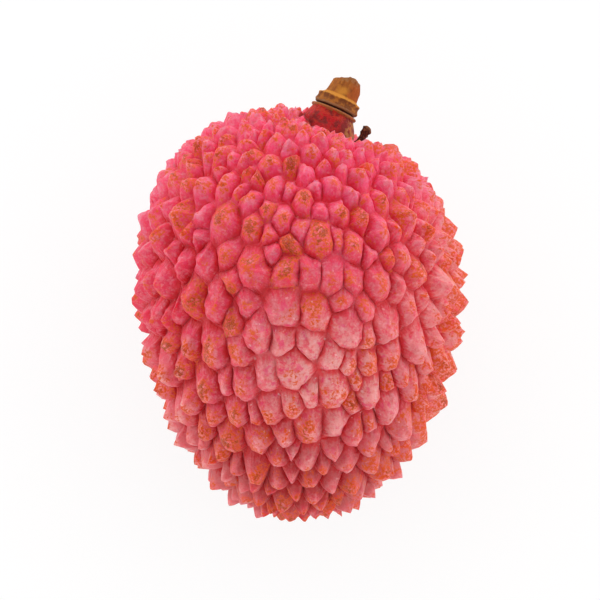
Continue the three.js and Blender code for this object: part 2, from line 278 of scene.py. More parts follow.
class Surface:
    """Vertices, faces and what the materials need to know of them."""

    def __init__(self):
        self.points = []
        self.rho = []  # 0 at a tubercle's tip and 1 in the furrow
        self.spoke = []  # where the furrow is that a point looks out to
        self.cleft = []  # how clear that furrow is there, from 0 to 1
        self.faces = []
        self.chance = []  # one random number for each cell, on its faces
        self.furrows = {}

    def add(self, point, rho, spoke, cleft):
        self.points.append(point)
        self.rho.append(rho)
        self.spoke.append(spoke)
        self.cleft.append(cleft)
        return len(self.points) - 1

    def add_furrow_point(self, point, inward):
        stray = Vector(noise(point / FURROW_BEND + offset) for offset in STRAY_OFFSETS)
        stray -= inward * stray.dot(inward)
        facing = direction_of(point)
        faint = ease(facing.dot(MERGED_SIDE), *MERGED_ZONE)
        merging = max(faint, MERGING_ELSEWHERE * ease(facing.y, *STALK_HALF))
        cleft = lerp(1, ease(noise(point / CLEFT_SIZE), *CLEFT_NOISE), merging)
        blunt = bluntness(facing) * faint
        lift = lerp(lerp(*SHARP_FURROW_LIFT, cleft), lerp(*FURROW_LIFT, cleft), blunt)
        point = point + stray * FURROW_WANDER - inward * lift
        return self.add(point, 1.0, point, cleft)

    def corner(self, name, point, inward):
        if name not in self.furrows:
            self.furrows[name] = self.add_furrow_point(point, inward)
        return self.furrows[name]

    def furrow(self, a, b, start, end, inward):
        """The points of the furrow between two corners, made once and then shared."""
        if a > b:
            return self.furrow(b, a, end, start, inward)[::-1]
        if (a, b) not in self.furrows:
            count = max(1, round((end - start).length / FURROW_STEP))
            between = [start.lerp(end, k / count) for k in range(1, count)]
            inner = [self.add_furrow_point(point, inward) for point in between]
            self.furrows[a, b] = [self.corner(a, start, inward), *inner, self.corner(b, end, inward)]
        return self.furrows[a, b]

    def fan(self, tip, ring_points, outer):
        """Faces from a tip through rings of points out to the furrow's."""
        inner = ring_points[0]
        count = len(outer)
        chance = random.random()
        made = [(tip, inner[k], inner[(k + 1) % count]) for k in range(count)]
        for low, high in zip(ring_points, [*ring_points[1:], outer]):
            for k in range(count):
                after = (k + 1) % count
                made.append((low[k], high[k], high[after], low[after]))
        self.faces += made
        self.chance += [chance] * len(made)


places, triangles = welded(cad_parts["fruit"].data)
rings = rings_around(triangles)
cells = find_cells(places, rings)
fruit_low, fruit_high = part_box("fruit")
centre = (fruit_low + fruit_high) / 2
half = (fruit_high - fruit_low) / 2
stub_middle = sum(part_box("stem_stub"), Vector()) / 2
neck_tip = min((tip for tip, _ in cells), key=lambda tip: (places[tip] - stub_middle).length)
neck_top, stalk_axis = middle_and_normal([places[point] for point in rings[neck_tip]])
neck_radius = sum((places[point] - neck_top).length for point in rings[neck_tip]) / len(rings[neck_tip])


def direction_of(point):
    """The direction of a place on the rind, as on a unit sphere."""
    return Vector(((point[i] - centre[i]) / half[i]) for i in range(3)).normalized()


def bluntness(facing):
    return ease(facing.dot(BLUNT_SIDE), *BLUNT_ZONE)


def stretched(root, normal, height):
    """A greater height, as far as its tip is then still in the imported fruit's box."""
    wanted = height * SHARP_STRETCH
    for i in range(3):
        edge = fruit_high[i] if normal[i] > 0 else fruit_low[i]
        if abs(normal[i]) > 0.01:
            wanted = min(wanted, (edge - root[i]) / normal[i])
    return max(height, wanted)


def ridge_height(point):
    """The share of its height that a tubercle keeps: less beside the neck, where it is a low ridge."""
    arm, height = from_stalk(point)
    if -height > half.y:
        return 1
    lowest = lerp(RIDGE_BOOST, RIDGE_HEIGHT, ease(arm.normalized().dot(RIDGE_SIDE), *RIDGE_ZONE))
    return lerp(lowest, 1, ease(arm.length / neck_radius, *RIDGE_REACH))


def rounding(arms):
    """How much farther out each point of an outline is than those around it."""
    lengths = [arm.length for arm in arms]
    count = len(lengths)
    reach = max(1, round(ROUNDING * count))
    changes = []
    for k, length in enumerate(lengths):
        around = [lengths[(k + step) % count] for step in range(-reach, reach + 1)]
        change = length * len(around) / sum(around)
        changes.append(min(max(change, ROUNDED[0]), ROUNDED[1]))
    return changes


class Tubercle:
    """How high one tubercle is, how its dome is rounded and which way it leans."""

    def __init__(self, tip, ring):
        middle, self.normal = middle_and_normal([places[corner] for corner in ring])
        packed_height = (places[tip] - middle).dot(self.normal)
        self.root = places[tip] - self.normal * packed_height
        facing = direction_of(self.root)
        self.blunt = bluntness(facing)
        self.soft = ease(facing.dot(BLUNT_SIDE), *SOFT_ZONE)
        self.crown = ease(facing.y, *CROWN_ZONE)
        if random.random() < LUMPY:
            lumpy = ease(-facing.x, *LUMPY_ZONE) * ease(facing.y, *LUMPY_END)
            self.crown = max(self.crown, lumpy)
        full = max(self.blunt, self.crown)
        scatter = lerp(random.uniform(*SHARP_SCATTER), 1, full)
        tallest = stretched(self.root, self.normal, packed_height)
        self.height = lerp(tallest, packed_height, full) * ridge_height(self.root) * scatter
        self.lobe_height = lerp(SHARP_LOBE_HEIGHT, LOBE_HEIGHT, full)
        self.round_dome(facing)
        self.lean_over(facing)

    def round_dome(self, facing):
        end = ease(-facing.y, *BLOSSOM_ZONE)
        rounder = max(self.crown, self.soft, end)
        self.power = lerp(lerp(ROUNDNESS[0], CROWN_ROUNDNESS, rounder), ROUNDNESS[1], self.blunt)
        self.power *= 1 + ROUNDNESS_SCATTER * random.uniform(-1, 1)
        blunting = [share * zone for share, zone in zip(PEAK_BLUNTING, (self.crown, self.soft, end))]
        self.peak = lerp(*PEAK_SHARE, max(self.blunt, *blunting))
        less = (1 - KEEL_LESS[0] * self.crown) * (1 - KEEL_LESS[1] * end)
        self.keel = (1 - self.blunt) * less * lerp(*KEEL, ease(facing.x, *KEEL_ZONE))

    def lean_over(self, facing):
        down = Vector((0, -1, 0))
        self.down = down - self.normal * down.dot(self.normal)
        lower = ease(-facing.y, *LOWER_ZONE)
        self.lean = lerp(*LEAN, lower) * lerp(1, BLUNT_LEAN, self.blunt) * self.height
        self.shift = lerp(*SHIFT, lower) * max(self.soft, self.crown) * self.height
        self.top = self.root + self.normal * self.height + self.down * self.shift

    def lobe(self, point, rho):
        """How far the skin stands out at a place: in lobes, or in folds between creases."""
        lobe = noise(point / LOBE_SIZE)
        lobe += FINE_LOBES[0] * noise(point / (FINE_LOBES[1] * LOBE_SIZE))
        fold = abs(noise(point / LOBE_SIZE + self.normal * CREASE_OFFSET))
        lobe = lerp(lobe, CREASE_HEIGHT - CREASE_DEPTH * fold, CREASES * self.crown)
        return lobe * self.lobe_height * min(1, LOBE_FADE[0] * rho) * min(1, LOBE_FADE[1] * (1 - rho))

    def point(self, edge, rho, radius, rounded, ridge):
        """A point of the dome on the way out to a furrow's point, and its share of that way as it looks."""
        uneven = noise(edge / WRINKLE_SIZE) + noise(edge / FINE_WRINKLE_SIZE)
        cut = (rounded - 1) * self.soft * rho
        keel = self.keel * ridge * (1 - rho)
        reach = min(1, rho * (1 + cut - keel + WRINKLE * uneven * rho + VALLEY * self.soft * rho))
        rise = self.peak * (1 - reach) + (1 - self.peak) * (1 - reach**self.power)
        base = self.root.lerp(edge, rho)
        rise *= 1 + TILT * self.soft * (base - self.root).dot(self.down) / radius
        over = self.lean * hump(rise) + self.shift * rise
        point = base + self.normal * (self.height * rise) + self.down * over
        return point + self.normal * self.lobe(point, rho), (rho + reach) / 2


def add_tubercle(skin, tip, ring, outer, ridges):
    form = Tubercle(tip, ring)
    arms = [skin.points[far] - form.root for far in outer]
    radius = sum(arm.length for arm in arms) / len(arms)
    rounded = rounding(arms)
    tip_index = skin.add(form.top, 0.0, form.top, 1.0)
    ring_points = []
    for rho in RINGS if radius > SMALL_TUBERCLE else SMALL_RINGS:
        made = []
        for k, far in enumerate(outer):
            edge = skin.points[far]
            point, looks = form.point(edge, rho, radius, rounded[k], ridges[k])
            made.append(skin.add(point, looks, edge, skin.cleft[far]))
        ring_points.append(made)
    skin.fan(tip_index, ring_points, outer)


def add_neck(skin, outer):
    """A short column with a thin lip round its flat top, and with flutes that run down to the ridges."""
    feet = [skin.points[far] for far in outer]
    tip_index = skin.add(neck_top, 0.0, neck_top, 1.0)
    ring_points = []
    for share, lift in NECK_TOP:
        made = [skin.add(neck_top_point(foot, share, lift), NECK_TOP_RHO, foot, 1.0) for foot in feet]
        ring_points.append(made)
    for step in NECK_COLUMN:
        made = [skin.add(neck_side_point(foot, step), step, foot, 1.0) for foot in feet]
        ring_points.append(made)
    skin.fan(tip_index, ring_points, outer)


def from_stalk(foot):
    """The vector to a place from the stalk's axis, and its height above the neck's top."""
    arm = foot - neck_top
    height = arm.dot(stalk_axis)
    return arm - stalk_axis * height, height


def neck_top_point(foot, share, lift):
    share_uneven, size = NECK_UNEVEN
    uneven = 1 + share_uneven * noise(foot / size)
    outward = from_stalk(foot)[0].normalized()
    return neck_top + outward * (neck_radius * share * uneven) + stalk_axis * (lift * MM)


def neck_side_point(foot, step):
    """A point of the column, a share of the way down from the lip."""
    share, lift = NECK_TOP[-1]
    arm, drop = from_stalk(foot)
    outward = arm.normalized()
    flute = noise(foot / NECK_FLUTES[1]) * NECK_FLUTES[0] * step
    flare = lerp(*NECK_FLARE, ease(-outward.x, *NECK_FLARE_ZONE))
    radius = lerp(neck_radius * share, arm.length, step**flare) + flute * (1 - step**NECK_FLUTE_FADE)
    bulge = NECK_BULGE[1] if outward.x > 0 else NECK_BULGE[0]
    radius += bulge * abs(outward.x) * math.sin(math.pi * step)
    point = neck_top + outward * radius + stalk_axis * lerp(lift * MM, drop, step)
    return point + outward * (noise(point / NECK_BUMPS[1]) * NECK_BUMPS[0] * hump(step))


def outline(skin, ring):
    """The furrow's points around a cell, and how much of a ridge a sharp tubercle sends to each."""
    inward = -middle_and_normal([places[corner] for corner in ring])[1]
    keels = [random.random() ** KEEL_SCATTER for _ in ring]
    outer = []
    ridges = []
    for k, (a, b) in enumerate(zip(ring, ring[1:] + ring[:1])):
        along = skin.furrow(a, b, places[a], places[b], inward)[:-1]
        outer += along
        for step in range(len(along)):
            from_middle = 2 * step / len(along) - 1
            keel = keels[k] if from_middle < 0 else keels[(k + 1) % len(ring)]
            ridges.append(keel * ease(abs(from_middle), 0, 1))
    return outer, ridges


def rind_surface():
    skin = Surface()
    for tip, ring in cells:
        outer, ridges = outline(skin, ring)
        if tip == neck_tip:
            add_neck(skin, outer)
        else:
            add_tubercle(skin, tip, ring, outer, ridges)
    return skin


def neckness(point):
    """1 on the neck, falling to 0 on the ridges around it."""
    arm, height = from_stalk(point)
    start = NECK_BLUSH_START * neck_radius
    beside = 1 - ease(arm.length, start, start + NECK_BLUSH_REACH)
    return beside * (1 - ease(-height, NECK_BLUSH_DEPTH, NECK_BLUSH_DEPTH + NECK_BLUSH_REACH))


def clamped(loops, *corners):
    """Loops of points, kept within the box of the given corners."""
    low = [min(corner[i] for corner in corners) for i in range(3)]
    high = [max(corner[i] for corner in corners) for i in range(3)]
    return [[Vector(min(max(p[i], low[i]), high[i]) for i in range(3)) for p in loop] for loop in loops]


def make_rind():
    skin = rind_surface()
    mesh = bpy.data.meshes.new("rind")
    mesh.from_pydata(clamped([skin.points], fruit_low, fruit_high)[0], [], skin.faces)
    necks = [neckness(point) for point in skin.points]
    for name, values in (("rho", skin.rho), ("cleft", skin.cleft), ("neck", necks)):
        mesh.attributes.new(name, "FLOAT", "POINT").data.foreach_set("value", values)
    spokes = [value for spoke in skin.spoke for value in spoke]
    mesh.attributes.new("spoke", "FLOAT_VECTOR", "POINT").data.foreach_set("vector", spokes)
    mesh.attributes.new("chance", "FLOAT", "FACE").data.foreach_set("value", skin.chance)
    add_piece(mesh, "fruit", rind_material())


def linked(name, data):
    """A new object of the scene."""
    made = bpy.data.objects.new(name, data)
    bpy.context.scene.collection.objects.link(made)
    return made


def add_piece(mesh, node, material):
    """Puts a mesh in place of a CAD node."""
    mesh.polygons.foreach_set("use_smooth", [True] * len(mesh.polygons))
    mesh.materials.append(material)
    piece = linked(mesh.name, mesh)
    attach(piece, "root")
    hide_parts(node)


# The stub of the stalk and the dried carpel, as rings of points around their axes.


def closed_rings(name, first, loops, last):
    """A closed mesh from a first point through loops of points, anticlockwise from the last, to that one."""
    sides = len(loops[0])
    points = [first]
    for loop in loops:
        points += loop
    points.append(last)
    top = len(points) - 1 - sides
    faces = []
    for k in range(sides):
        after = (k + 1) % sides
        faces.append((0, 1 + after, 1 + k))
        for low in range(1, top, sides):
            faces.append((low + k, low + after, low + sides + after, low + sides + k))
        faces.append((top + k, top + after, len(points) - 1))
    mesh = bpy.data.meshes.new(name)
    mesh.from_pydata(points, [], faces)
    return mesh


def poles(node):
    """The two ends of a turned CAD node, the one nearer to the fruit first."""
    places, triangles = welded(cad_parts[node].data)
    rings = rings_around(triangles)
    ends = sorted(rings, key=lambda vertex: -len(rings[vertex]))[:2]
    return sorted((places[end] for end in ends), key=lambda point: (point - centre).length)


class Axis:
    """A place and the directions there: along an axis, to the right of it and away from its top side."""

    def __init__(self, origin, along):
        self.origin = origin
        self.along = along
        self.right = (Vector((1, 0, 0)) - along * along.x).normalized()
        self.under = along.cross(self.right)

    def point(self, radius, turn, height):
        out = self.right * math.cos(turn) + self.under * math.sin(turn)
        return self.origin + out * radius + self.along * height


stalk = Axis(neck_top, stalk_axis)
stub_end = max((end - neck_top).dot(stalk_axis) for end in poles("stem_stub"))
stub_turns = [2 * math.pi * k / STUB_SIDES for k in range(STUB_SIDES)]


def waves(point, layers):
    """How far a place of the stub stands out: the sum of layers of noise, drawn out along the stalk."""
    along = stalk_axis * (point - neck_top).dot(stalk_axis)
    total = 0
    for height, size, stretch in layers:
        total += height * MM * noise((point - along * (1 - 1 / stretch)) / (size * MM))
    return total


def broken_end(radius, turn):
    """How high the peg's torn end is above the neck: it falls to both sides of its crest."""
    across = radius * math.cos(turn) - PEG_CREST
    fall = PEG_SLOPE * max(0, abs(across) - PEG_FLAT)
    return stub_end - PEG_TORN - fall + waves(stalk.point(radius, turn, 0), TORN_END)


def collar_loop(radius, height):
    share = RECESS_WAVES if (radius, height) in STUB_RECESS else 1
    loop = []
    for turn in stub_turns:
        wave = waves(stalk.point(radius * MM, turn, height * MM), COLLAR_WAVES)
        lift = waves(stalk.point(radius * MM, turn, 0), COLLAR_LIFT)
        loop.append(stalk.point(radius * MM + share * wave, turn, height * MM + share * lift))
    return loop


def peg_side_loop(row):
    taper = 1 - PEG_TAPER * row + PEG_FOOT * (1 - row) ** 4
    loop = []
    for turn in stub_turns:
        height = lerp(PEG_BASE, broken_end(PEG_RADIUS, turn), row)
        fibre = waves(stalk.point(PEG_RADIUS, turn, height), PEG_FIBRES)
        loop.append(stalk.point(PEG_RADIUS * taper + fibre, turn, height) + stalk.right * (PEG_SHIFT * row))
    return loop


def peg_end_loop(share):
    radius = PEG_RADIUS * (1 - PEG_TAPER) * share
    shift = stalk.right * PEG_SHIFT
    return [stalk.point(radius, turn, broken_end(radius, turn)) + shift for turn in stub_turns]


def make_stub():
    """A collar with a recess under it, whose darkness is painted shade, and a peg of fibres, broken off
    unevenly.
    """
    loops = [collar_loop(radius, height) for radius, height in STUB_RECESS + STUB_COLLAR]
    loops += [peg_side_loop(row) for row in PEG_ROWS]
    loops += [peg_end_loop(share) for share in PEG_TOP]
    first = stalk.point(0, 0, STUB_RECESS[0][1] * MM)
    last = stalk.point(0, 0, broken_end(0, 0)) + stalk.right * PEG_SHIFT
    mesh = closed_rings("stem_stub_wood", first, clamped(loops, *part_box("stem_stub")), last)
    add_piece(mesh, "stem_stub", stub_material())


def make_carpel():
    """A thin shank that bends, with a shrivelled knob at its end."""
    foot, end = poles("aborted_carpel")
    axis = Axis(foot, (end - foot).normalized())
    length = (end - foot).length + CARPEL_SINK + CARPEL_RISE
    loops = []
    for radius, share in CARPEL_ROWS:
        height = length * share - CARPEL_SINK
        bend = axis.right * (CARPEL_BEND * math.sin(math.pi * share))
        loop = []
        for k in range(CARPEL_SIDES):
            turn = 2 * math.pi * k / CARPEL_SIDES
            at = axis.point(radius * MM, turn, height)
            shrivel = 1 + CARPEL_SHRIVEL[0] * noise(at / CARPEL_SHRIVEL[1]) * share
            shrivel += CARPEL_WRINKLES[0] * noise(at / CARPEL_WRINKLES[1])
            loop.append(axis.point(radius * MM * shrivel, turn, height) + bend)
        loops.append(loop)
    first = axis.point(0, 0, -CARPEL_SINK)
    last = axis.point(0, 0, length - CARPEL_SINK - CARPEL_DIP)
    mesh = closed_rings("dried_carpel", first, clamped(loops, *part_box("fruit"), *cad_box), last)
    add_piece(mesh, "aborted_carpel", carpel_material())


# Materials: graphs of nodes over the object's coordinates and the rind's attributes.


class Nodes:
    """A node tree, with short calls to add to it."""

    def __init__(self, tree):
        self.tree = tree

    def add(self, kind, settings=None, **inputs):
        node = self.tree.nodes.new("ShaderNode" + kind)
        for name, value in (settings or {}).items():
            setattr(node, name, value)
        self.feed_named(node, inputs)
        return node

    def feed_named(self, node, inputs):
        for name, value in inputs.items():
            self.feed(node.inputs[name.replace("_", " ")], value)

    def feed(self, socket, value):
        if isinstance(value, bpy.types.NodeSocket):
            self.tree.links.new(value, socket)
        elif value is not None:
            socket.default_value = value

    def step(self, kind, *values, output=0, **settings):
        """Adds a node, feeds its first inputs in order and gives one of its outputs."""
        node = self.add(kind, settings)
        for socket, value in zip(node.inputs, values):
            self.feed(socket, value)
        return node.outputs[output]

    def math(self, operation, first, second=None):
        return self.step("Math", first, second, operation=operation)

    def vector(self, operation, first, second=None, output=0):
        return self.step("VectorMath", first, second, operation=operation, output=output)


class Graph(Nodes):
    """A material's node tree, with the steps that the materials share."""

    def __init__(self, name):
        self.material = bpy.data.materials.new(name)
        self.material.use_nodes = True
        super().__init__(self.material.node_tree)
        self.shader = self.tree.nodes["Principled BSDF"]
        self.place = self.add("TexCoord").outputs["Object"]

    def times(self, *factors):
        """The product of factors: each is a value, or in brackets what ramp makes it from."""
        values = [self.ramp(*factor) if isinstance(factor, tuple) else factor for factor in factors]
        result = values[0]
        for value in values[1:]:
            result = self.math("MULTIPLY", result, value)
        return result

    def total(self, *values):
        result = values[0]
        for value in values[1:]:
            result = self.math("ADD", result, value)
        return result

    def ramp(self, value, low, high, start=0, end=1):
        """From start to end, smoothly, as a value goes from low to high."""
        return self.step("MapRange", value, low, high, start, end, interpolation_type="SMOOTHSTEP")

    def fade(self, zone, start, end):
        """From start to end as a zone goes from 0 to 1."""
        return self.ramp(zone, 0, 1, start, end)

    def ragged(self, value, noise, reach, low=0.3):
        """A value that noise makes uneven, by up to a reach each way."""
        return self.total(value, self.ramp(noise, low, 1 - low, -reach, reach))

    def band(self, value, low, high, blur):
        """1 where a value is between two, with blurred ends."""
        return self.times((value, low - blur, low + blur), (value, high + blur, high - blur))

    def mix(self, factor, first, second):
        node = self.add("Mix", {"data_type": "RGBA"})
        self.feed(node.inputs[0], self.times(factor))
        self.feed(node.inputs[6], first)
        self.feed(node.inputs[7], second)
        return node.outputs[2]

    def layers(self, colour, *coats):
        """A colour under coats: each is a colour and the factors of how strongly it covers."""
        for coat, *factors in coats:
            colour = self.mix(self.times(*factors), colour, coat)
        return colour

    def noise(self, size, detail=2.0, roughness=0.5, place=None):
        """Noise from 0 to 1, with lumps of a size in metres."""
        place = place or self.place
        node = self.add("TexNoise", Vector=place, Scale=1 / size, Detail=detail, Roughness=roughness)
        return node.outputs["Fac"]

    def attribute(self, name, output="Fac"):
        return self.add("Attribute", {"attribute_name": name}).outputs[output]

    def bump(self, height, depth):
        """Raises the surface by a height from 0 to 1, times a depth in metres."""
        node = self.add("Bump", Height=height, Strength=1, Distance=depth)
        self.feed(self.shader.inputs["Normal"], node.outputs[0])

    def near(self, place, spread):
        """1 at a place, falling to 0 at an ellipsoid with the given half axes."""
        scaled = self.vector("DIVIDE", self.vector("SUBTRACT", self.place, place), spread)
        return self.ramp(self.vector("LENGTH", scaled, output="Value"), 1, 0.25)

    def distance_along(self, origin, direction):
        """How far the surface is from a place along a direction, in metres."""
        return self.vector("DOT_PRODUCT", self.vector("SUBTRACT", self.place, origin), direction, "Value")

    def drawn_out(self, direction, stretch):
        """The object's coordinates squeezed along a direction, which draws noise out along it."""
        along = self.times(self.vector("DOT_PRODUCT", self.place, direction, "Value"), 1 - 1 / stretch)
        node = self.add("VectorMath", {"operation": "SCALE"}, Scale=along)
        self.feed(node.inputs[0], direction)
        return self.vector("SUBTRACT", self.place, node.outputs[0])

    def finish(self, **inputs):
        """Feeds the shader and gives the material."""
        self.feed_named(self.shader, inputs)
        return self.material


CRIMSON = (0.85, 0.058, 0.19, 1)
ROSE = (0.7, 0.036, 0.078, 1)
SALMON = (0.8, 0.37, 0.34, 1)
# Brick red of the blossom end, also used there for painted shade.
BRICK_AND_SHADE = (0.48, 0.035, 0.028, 1)
# Painted shade: the furrows' darker reds stand in for the shade in them; the crown's red also serves as the
# neck's own blush.
FURROW_SHADE_RED = (0.7, 0.018, 0.03, 1)
CROWN_FURROW_SHADE_AND_NECK_BLUSH_RED = (0.8, 0.018, 0.052, 1)
PALE_FURROW_SHADE_RED = (0.82, 0.065, 0.075, 1)
LOW_FURROW_SHADE_RED = (0.58, 0.008, 0.012, 1)
PINK = (0.88, 0.36, 0.34, 1)
PALE_SPECK_AND_GLINT = (0.87, 0.5, 0.5, 1)
BLUSH = (0.8, 0.018, 0.075, 1)
MAGENTA = (0.78, 0.035, 0.15, 1)
# Pale pinks: the rind's own paler mottle, and also painted highlights on the tops.
PALE_AND_HIGHLIGHT_PINK = (0.88, 0.42, 0.4, 1)
ROSE_PALE_AND_HIGHLIGHT = (0.76, 0.21, 0.27, 1)
# Painted highlight of the crown's tops.
CROWN_HIGHLIGHT = (0.76, 0.31, 0.39, 1)
ORANGE = (0.73, 0.09, 0.003, 1)
BARK = (0.36, 0.105, 0.014, 1)
BARK_DARK = (0.21, 0.058, 0.01, 1)
BARK_LIGHT = (0.47, 0.155, 0.018, 1)
BARK_RED = (0.38, 0.07, 0.008, 1)
# Grey: the peg's own torn end, and a painted highlight along the collar's foot.
GREY_WOOD_AND_HIGHLIGHT = (0.32, 0.16, 0.07, 1)
COLLAR_BROWN = (0.38, 0.12, 0.012, 1)
COLLAR_DARK = (0.18, 0.048, 0.008, 1)
GOLD_WOOD = (0.6, 0.235, 0.025, 1)
# Painted shade of the recess under the collar.
RECESS_SHADE = (0.05, 0.007, 0.005, 1)
CARPEL_BLACK = (0.045, 0.006, 0.004, 1)
CARPEL_BROWN = (0.19, 0.045, 0.02, 1)
NECK_RED = (0.52, 0.004, 0.008, 1)
NECK_DARK = (0.22, 0.008, 0.006, 1)
NECK_ORANGE = (0.52, 0.022, 0.006, 1)
NECK_LIP = (0.3, 0.1, 0.015, 1)
NECK_GOLD = (0.42, 0.17, 0.035, 1)
SPOT_BROWN = (0.36, 0.042, 0.0, 1)


# Sizes of the rind's noises.
PATCH_SIZE = 6 * MM  # of where it is pale
MOTTLE_SIZE = 0.8 * MM
GRAIN_SIZE = 0.26 * MM
BLOTCH_SIZE = 0.62 * MM
STREAK_SIZE = 0.28 * MM  # of streaks from the furrows up the sides
EDGE_SIZE = 0.45 * MM  # of the furrows' ragged edges
SPECK_AND_GLINT_SIZE = 0.38 * MM
NECK_EDGE_SIZE = 0.7 * MM  # of the neck's ragged edge

# Regions of the rind: middles and reaches, in halves of the fruit's box.
PALE_REGION = ((0.2, -0.42, 1), (0.85, 0.62, 1.2))
PINK_REGION = ((1, 0, 0), (0.9, 0.9, 1.6))
SHOULDER_REGION = ((-0.55, 0.62, 0.5), (0.4, 0.26, 1))
NECK_REGION = 4  # its reach, in radii of the neck

# Orange spots: how much is added to their noise in a region. Of a pair, the second is at the rim.
CLUSTER_SIZE = 1.5 * MM
CLUSTER_HEIGHT = 0.6
SPOT_REGION_SIZE = 7 * MM
SPOT_GRAIN_SIZE = 0.24 * MM
SPOT_GRAIN_HEIGHT = 0.4
SPOTS_MOST = 0.405  # so that clusters stay grainy
SPOTS_EVERYWHERE = 0.017
SPOTS_UPPER_LEFT = (-0.055, -0.095)
SPOTS_LOWER_LEFT = (0.08, -0.08)
SPOTS_LOWER_SIDES = 0.05
SPOTS_RIGHT_RIM = 0.1
SPOTS_RIGHT_END = -0.2
SPOTS_BLOSSOM_END = -0.02
SPOTS_SHOULDER = 0.085
SPOTS_MIDDLE = 0.022
SPOTS_PALE = -0.09
SPOTS_FURROW = -0.07
SPOTS_CROWN = -0.008
SPOTS_BY_NECK = -0.07
BROWN_RIGHT = (-0.05, -0.16)  # the same for their brown middles, at the right
BROWN_GRAIN_SIZE = 0.11 * MM


class RindGraph(Graph):
    """The rind's graph, with what its layers of colour share."""

    def __init__(self):
        super().__init__("rind")
        self.colour = ROSE
        names = ("rho", "cleft", "chance", "neck")
        self.rho, self.cleft, self.chance, self.neck = map(self.attribute, names)
        self.add_zones()
        self.mottle = self.noise(MOTTLE_SIZE, 3, 0.75)
        self.grain = self.noise(GRAIN_SIZE, 2, 0.6)
        self.streaks = self.noise(STREAK_SIZE, 1, place=self.attribute("spoke", "Vector"))
        self.margin = self.times((self.rho, 0.6, 0.82), (self.rho, 1, 0.95), (self.crown, 0, 1, 1, 0.4))
        # Pale pink for the rind's own paler mottle, used too for painted highlights on the tops.
        self.pale_and_highlight = self.mix(self.paler, ROSE_PALE_AND_HIGHLIGHT, PALE_AND_HIGHLIGHT_PINK)

    def add_zones(self):
        split = self.add("SeparateXYZ", Vector=self.place)
        across, along, height = (split.outputs[axis] for axis in "XYZ")
        self.crown = self.ramp(along, centre.y, centre.y + 0.6 * half.y)
        self.below = self.ramp(along, centre.y, centre.y - 0.4 * half.y)
        self.blossom = self.ramp(along, centre.y - 0.35 * half.y, centre.y - 0.95 * half.y)
        self.left = self.ramp(across, centre.x, fruit_low.x)
        self.right = self.ramp(across, centre.x, fruit_high.x)
        self.rim = self.ramp(height, centre.z + 0.6 * half.z, centre.z + 0.3 * half.z)
        self.off_middle = self.math("ABSOLUTE", self.math("SUBTRACT", across, centre.x))
        patches = self.ramp(self.noise(PATCH_SIZE, 1), 0.2, 0.6, 0.3, 1)
        self.pale = self.times(self.region(*PALE_REGION), patches)
        self.pink = self.region(*PINK_REGION)
        self.paler = self.math("MAXIMUM", self.pale, self.pink)

    def region(self, middle, reach):
        """1 at a place, falling to 0 at a reach from it, both in halves of the fruit's box."""
        place = Vector(centre[i] + middle[i] * half[i] for i in range(3))
        return self.near(place, Vector(reach[i] * half[i] for i in range(3)))

    def at_rim(self, inside, rim):
        return self.fade(self.rim, inside, rim)

    def paint(self, colour, *factors):
        """Lays one more colour over the rind."""
        self.colour = self.layers(self.colour, (colour, *factors))


def paint_skin(rind):
    """Crimson at the crown and rose elsewhere, with the pale and the pink region, mottled and grainy."""
    rind.paint(CRIMSON, rind.crown)
    rind.paint(SALMON, rind.pale, 0.9)
    rind.paint(PINK, rind.pink, 0.7)
    rind.paint(BLUSH, rind.fade(rind.chance, 0, 0.2))
    rind.paint(BLUSH, rind.left, 0.3)
    rind.paint(BLUSH, (rind.mottle, 0.52, 0.64, 0, 0.7))
    rind.paint(rind.pale_and_highlight, (rind.mottle, 0.5, 0.36, 0, 0.6))
    grainy = rind.fade(rind.paler, 0.42, 0.2)
    rind.paint(BLUSH, (rind.grain, 0.5, 0.66), grainy)
    rind.paint(rind.pale_and_highlight, (rind.grain, 0.5, 0.34), grainy)
    blotches = rind.ramp(rind.noise(BLOTCH_SIZE, 2, 0.55), 0.55, 0.66)
    rind.paint(MAGENTA, blotches, (rind.pale, 0, 0.5, 0.35, 0.8))


def paint_top_highlights(rind):
    """Painted highlights on the tops of the tubercles, stronger on the crown, and streaks up their sides."""
    less_left = rind.fade(rind.left, 1, 0.2)
    less_low = rind.fade(rind.blossom, 1, 0.3)
    uneven = rind.ramp(rind.mottle, 0.62, 0.4, 0.3, 1.3)
    # Painted highlight on the tubercles' tops.
    rind.paint(rind.pale_and_highlight, (rind.rho, 0.85, 0.3, 0, 0.14), less_left, uneven, less_low)
    uneven = rind.ramp(rind.mottle, 0.62, 0.42, 0.3, 1)
    # Painted highlight on the crown's tops.
    rind.paint(CROWN_HIGHLIGHT, rind.crown, (rind.rho, 0.75, 0.15, 0, 0.55), uneven)
    rind.paint(BLUSH, (rind.streaks, 0.5, 0.38, 0, 0.4), rind.margin)
    rind.paint(rind.pale_and_highlight, (rind.streaks, 0.52, 0.64, 0, 0.35), rind.margin)


def paint_blossom_end(rind):
    """Brick red sides at the blossom end, deepened towards the furrows as painted shade, pale tops as painted
    highlights, and a pink rim of painted light on both sides of it.
    """
    # Brick red, the blossom end's own colour, deepened towards the furrows as painted shade.
    rind.paint(BRICK_AND_SHADE, rind.blossom, (rind.rho, 0.3, 0.75, 0.25, 0.9))
    # Painted highlights: pale tops on the tubercles of the lower half.
    tops = rind.ramp(rind.rho, 0.7, 0.15, 0, 0.37)
    uneven = rind.ramp(rind.mottle, 0.6, 0.4, 0.35, 1.1)
    rind.paint(PALE_AND_HIGHLIGHT_PINK, rind.below, tops, uneven, (rind.left, 0.2, 0.8, 1, 2.6))
    # Painted light: a paler pink rim on both sides of the lower half, where the rind turns towards the bright
    # surround.
    sides = rind.ramp(rind.off_middle, 0.1 * half.x, 0.45 * half.x, 0, 0.25)
    rind.paint(PINK, rind.rim, rind.below, sides)


